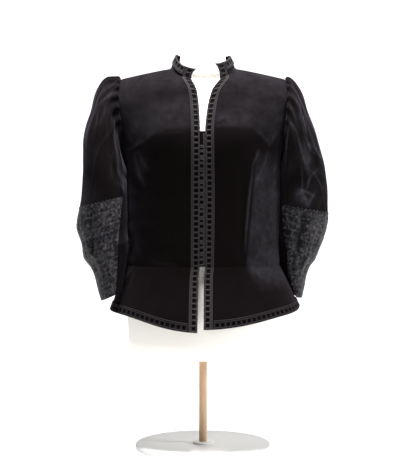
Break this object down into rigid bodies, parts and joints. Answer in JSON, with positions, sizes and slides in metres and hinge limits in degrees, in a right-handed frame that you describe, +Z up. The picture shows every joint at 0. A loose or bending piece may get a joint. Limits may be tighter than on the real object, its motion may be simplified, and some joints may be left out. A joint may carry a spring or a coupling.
{
  "type": "trachten blazer on a dress form",
  "caption": "Black velvet folk blazer with stand collar, flared peplum, ladder braid edges and puffed sleeves ending in lace tiers, worn by a limbless dress form on a pole and round base.",
  "frame": {"origin": "middle of the base's underside, on the floor", "axes": "+Z up, the jacket's front faces -Y, +X to the right as seen from the front"},
  "size_m": [0.6247, 0.336, 0.987],
  "materials": {
    "velvet": "cotton velvet, short pile",
    "underlap": "plain twill with corded trim",
    "braid": "woven ladder braid, slight sheen",
    "lace": "corded lace over lining",
    "ribbon": "satin ribbon in beading",
    "jersey": "plain jersey cover",
    "wood": "turned, satin varnish",
    "paint": "satin white paint"
  },
  "bodies": {
    "root": {"bodice_front_left": "velvet", "bodice_front_right": "velvet", "bodice_back": "velvet", "peplum_front_left": "velvet", "peplum_front_right": "velvet", "peplum_back": "velvet", "collar": "velvet", "sleeve_upper_left": "velvet", "sleeve_upper_right": "velvet", "under_sleeve_left": "velvet", "under_sleeve_right": "velvet", "placket": "underlap", "braid_front_left": "braid", "braid_front_right": "braid", "braid_hem_left": "braid", "braid_hem_right": "braid", "braid_hem_back": "braid", "braid_collar": "braid", "lace_upper_left": "lace", "lace_upper_right": "lace", "lace_lower_left": "lace", "lace_lower_right": "lace", "cuff_left": "lace", "cuff_right": "lace", "beading_left": "ribbon", "beading_right": "ribbon", "form_torso": "jersey", "form_pole": "wood", "form_base": "paint"}
  },
  "joints": []
}
